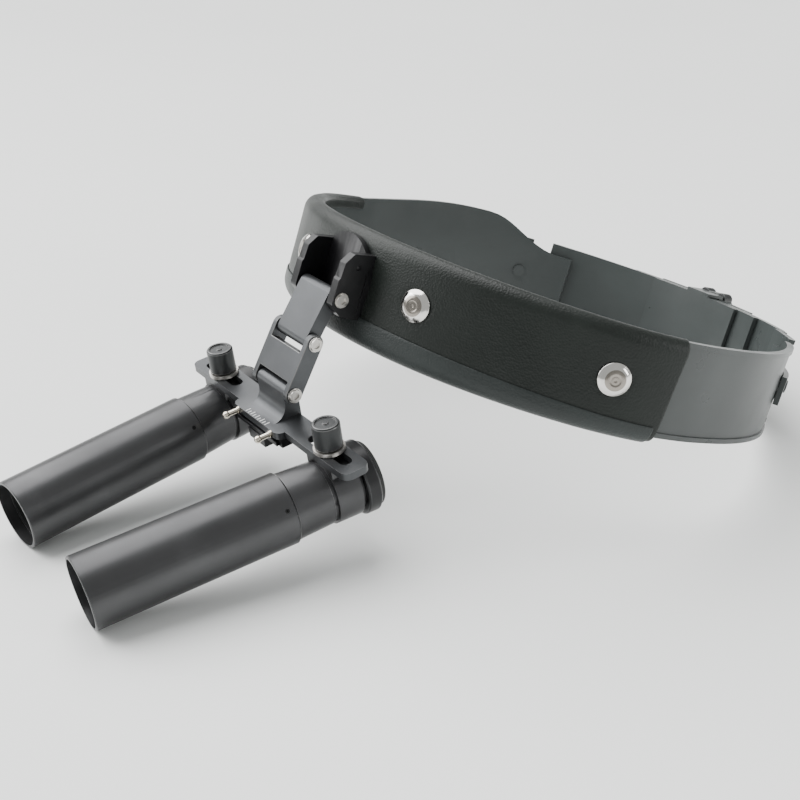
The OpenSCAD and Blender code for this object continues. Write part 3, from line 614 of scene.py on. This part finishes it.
def leather_flap(skin, rows, seam_row):
    """The lower strip of leather, folded up from the inside and glued over the face along the seam, in a
    lighter leather that paints the floor's reflection.
    """
    bm = bmesh.new()
    loops = []
    for c in range(FLAP_MARGIN, COLUMNS + 1 - FLAP_MARGIN):
        first = c * 2 * rows
        verts = skin.data.vertices[first + seam_row:first + rows - FLAP_STOP]
        over = [bm.verts.new(v.co + v.normal * FLAP_OVER * MM) for v in verts]
        under = [bm.verts.new(v.co + v.normal * FLAP_UNDER * MM) for v in verts]
        loops.append(over + under[::-1])
    tube(bm, loops)
    return mesh_object("leather_lower_strip", bm, FLAP, smooth=60)


def subdivide(piece):
    level = piece.modifiers.new("smooth", "SUBSURF")
    level.levels = 1
    level.render_levels = 1
    apply_modifiers(piece)
    finish_shading(piece.data, 60)


# ---------- rivets ----------

def lathe(bm, profile, place, segments=56):
    """Spins (radius, height) points round the place's Z axis."""
    rings = []
    for radius, height in profile:
        if radius == 0:
            rings.append([bm.verts.new(place @ Vector((0, 0, height * MM)))])
            continue
        ring = []
        for i in range(segments):
            a = math.tau * i / segments
            point = Vector((radius * math.cos(a), radius * math.sin(a), height)) * MM
            ring.append(bm.verts.new(place @ point))
        rings.append(ring)
    for low, high in zip(rings, rings[1:]):
        for i in range(segments):
            j = (i + 1) % segments
            if len(low) == 1:
                bm.faces.new((low[0], high[j], high[i]))
            elif len(high) == 1:
                bm.faces.new((low[i], low[j], high[0]))
            else:
                bm.faces.new((low[i], low[j], high[j], high[i]))


CAP_FOOT = 1.45            # the caps' underside, outwards from the band's outline
DARK_REFLECTION_R = 3.6               # the dome's middle, within this distance of a cap's foot, is rougher and painted darker: a painted reflection


def rivets():
    """Pressed caps with a rolled rim, a rougher dome middle painted darker as a reflection, and a
    shallow ring round the centre dimple.

    The profiles are (radius, height) points.
    """
    bm = bmesh.new()
    rim = [(5.0, 0.0), (5.25, 0.12), (5.3, 0.4), (5.15, 0.66), (4.85, 0.82)]
    slopes = [1.15 - 0.146 * i for i in range(6)]
    dome = [(5.0 * math.sin(a), 0.1 + 2.05 * math.cos(a) ** 0.8) for a in slopes]
    centre = [(1.75, 1.97), (1.5, 1.9), (1.2, 1.9), (0.7, 1.98), (0.35, 1.9), (0, 1.86)]
    shank = [(0, -5.2), (1.6, -5.2), (1.6, 0.1), (0, 0.1)]
    places = []
    for angle, height in RIVETS:
        phi = math.radians(angle)
        foot = band_point(phi, CAP_FOOT, height)
        turn = Vector((0, 0, 1)).rotation_difference(band_outward(phi)).to_matrix().to_4x4()
        place = Matrix.Translation(foot) @ turn
        lathe(bm, [(0, 0)] + rim + dome + centre, place)
        lathe(bm, shank, place, 24)
        places.append(foot)
    bmesh.ops.recalc_face_normals(bm, faces=bm.faces)
    piece = mesh_object("rivet_caps_pressed", bm, CHROME, CHROME_DARK_REFLECTION, smooth=50)
    # faces near the dome's middle take the darker chrome: a painted reflection
    for face in piece.data.polygons:
        nearest = min((face.center - place).length for place in places)
        face.material_index = int(nearest < DARK_REFLECTION_R * MM)
    ride_for(piece, "rivet_caps")
    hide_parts("rivet_caps")


# ---------- scale marks on the bridge ----------

KNUCKLE_BACK = 2.8         # the lower pivot, from the middle of the bridge bar's top
KNUCKLE_UP = 8.5
TICK_COUNT = 9
TICK_STEP = 1.5
TICK_FRONT = -7.1          # the marks' near ends, on the ledge in front of the knuckle
TICK_LONG = 1.9
TICK_SHORT = 1.3
TICK_WIDE = 0.32
TICK_THICK = 0.03
TICK_UP = 0.02             # the paint's middle, above the bar


def bridge_matrix():
    """The bridge's frame: X along the bar, Y to the back, Z along the thumb screws."""
    up = Vector(JOINTS["left_thumb_turn"]["axis"]).normalized()
    across = Vector((1, 0, 0))
    back = up.cross(across).normalized()
    pivot = Vector(JOINTS["flip_lower"]["pos_m"])
    origin = pivot - (back * KNUCKLE_BACK + up * KNUCKLE_UP) * MM
    return Matrix.Translation(origin) @ Matrix((across, back, up)).transposed().to_4x4()


def scale_marks():
    """A row of painted ticks, every other one longer, on the ledge of the bridge bar."""
    bridge = bridge_matrix()
    bm = bmesh.new()
    for i in range(TICK_COUNT):
        x = (i - (TICK_COUNT - 1) / 2) * TICK_STEP
        size = Vector((TICK_WIDE, TICK_SHORT if i % 2 else TICK_LONG, TICK_THICK))
        middle = Vector((x, TICK_FRONT + size.y / 2, TICK_UP))
        place = bridge @ Matrix.Translation(middle * MM) @ Matrix.Diagonal((*(size * MM), 1))
        bmesh.ops.create_cube(bm, size=1, matrix=place)
    marks = mesh_object("bridge_scale_marks", bm, MARK)
    ride_for(marks, "bridge_bar")


# ---------- hard parts ----------

def hard_parts():
    softened("front_band", 0.35, PLASTIC, PLASTIC_EDGE_HIGHLIGHT)
    for side in ("left", "right"):
        softened("strap_" + side, 0.22, PLASTIC, PLASTIC_EDGE_HIGHLIGHT)
    softened("housing_cover", 0.45, PLASTIC, PLASTIC_EDGE_HIGHLIGHT)
    softened("housing_base", 0.2, PLASTIC, PLASTIC_EDGE_HIGHLIGHT)
    softened("ratchet_knob", 0.5, KNOB, PLASTIC_EDGE_HIGHLIGHT)
    softened("mount_fork", 0.3, BLACK, BLACK_EDGE_HIGHLIGHT)
    softened("guide_rail", 0.2, BLACK, BLACK_EDGE_HIGHLIGHT)
    softened("upper_link", 0.22, ALUMINIUM, ALUMINIUM_EDGE_HIGHLIGHT)
    softened("lower_link", 0.25, ALUMINIUM, ALUMINIUM_EDGE_HIGHLIGHT)
    softened("bridge_bar", 0.3, ALUMINIUM, ALUMINIUM_EDGE_HIGHLIGHT)
    for node in ("upper_hinge", "middle_hinge", "lower_hinge"):
        # the pins' bevels in the brighter chrome: a painted highlight
        softened(node + "_pin", 0.12, STEEL, CHROME)
        dress(node + "_nut", STEEL)
    for node in ("rivet_backs", "mount_screws", "housing_screws", "knob_pinion", "knob_screw"):
        dress(node, STEEL)
    dress("band_studs", PLASTIC)
    dress("pawl_spring", STEEL)
    dress("ratchet_ring", BLACK)
    dress("ball_pins", BRASS)


def barrels():
    for side in ("left", "right"):
        softened(side + "_bracket", 0.25, TUBE, ALUMINIUM_EDGE_HIGHLIGHT)
        softened(side + "_sleeve", 0.12, TUBE, TUBE_RIM_HIGHLIGHT)
        softened(side + "_neck", 0.12, TUBE, ALUMINIUM_EDGE_HIGHLIGHT)
        softened(side + "_eyepiece", 0.2, BLACK, BLACK_EDGE_HIGHLIGHT)
        softened(side + "_eyecup", 0.2, RUBBER, RUBBER)
        softened(side + "_thumb_screw", 0.15, THUMB, ALUMINIUM_EDGE_HIGHLIGHT)
        dress(side + "_washer", STEEL)
        for node in ("objective", "prism", "eye_lens"):
            dress(f"{side}_{node}", GLASS)
        for node in ("lens_ring", "field_stop", "set_screws"):
            dress(f"{side}_{node}", INNER)
        dress(side + "_clamp_screw", STEEL)


# ---------- stage ----------

CAMERA_PLACE = (0.31567, -0.24240, 0.21831)
CAMERA_DOWN = 26.52        # degrees below the horizon
CAMERA_TURN = 54.4         # degrees round the vertical, from looking towards +Y
CAMERA_LENS = 56.12


def camera():
    data = bpy.data.cameras.new("camera")
    data.lens = CAMERA_LENS
    data.sensor_width = 36
    data.clip_start = 0.01
    data.clip_end = 20
    obj = link(bpy.data.objects.new("camera", data))
    obj.location = CAMERA_PLACE
    obj.rotation_euler = (math.radians(90 - CAMERA_DOWN), 0, math.radians(CAMERA_TURN))
    bpy.context.scene.camera = obj


def area_light(name, place, target, size, power):
    data = bpy.data.lights.new(name, "AREA")
    data.shape = "RECTANGLE"
    data.size, data.size_y = size
    data.energy = power
    obj = link(bpy.data.objects.new(name, data))
    obj.location = place
    obj.rotation_euler = (Vector(target) - Vector(place)).to_track_quat("-Z", "Y").to_euler()


FLOOR_HALF = 30
FLOOR_Z = -0.0002          # just under the object
SUN_FROM = (-0.64, -0.1, 1)


def studio():
    """A pale floor under a broad, soft sun, with two weak soft boxes for the highlights."""
    world = bpy.data.worlds.new("studio")
    bpy.context.scene.world = world
    world.use_nodes = True
    background = world.node_tree.nodes["Background"]
    background.inputs["Color"].default_value = (0.94, 0.96, 0.95, 1)
    background.inputs["Strength"].default_value = 0.6
    sky = bpy.data.lights.new("soft_sun", "SUN")
    sky.energy = 5.0
    sky.angle = math.radians(70)
    key = link(bpy.data.objects.new("soft_sun", sky))
    key.rotation_euler = Vector(SUN_FROM).to_track_quat("Z", "Y").to_euler()
    area_light("softbox_left", (-0.6, -0.7, 0.5), (0, 0, 0.05), (0.7, 0.5), 6)
    area_light("softbox_right", (0.9, 0.6, 0.4), (0, 0.08, 0.04), (0.3, 0.5), 3)
    bm = bmesh.new()
    bmesh.ops.create_grid(bm, x_segments=2, y_segments=2, size=FLOOR_HALF)
    floor = mesh_object("studio_floor", bm, PAPER)
    floor.location.z = FLOOR_Z


camera()
studio()
leather_cover()
rivets()
hard_parts()
scale_marks()
barrels()
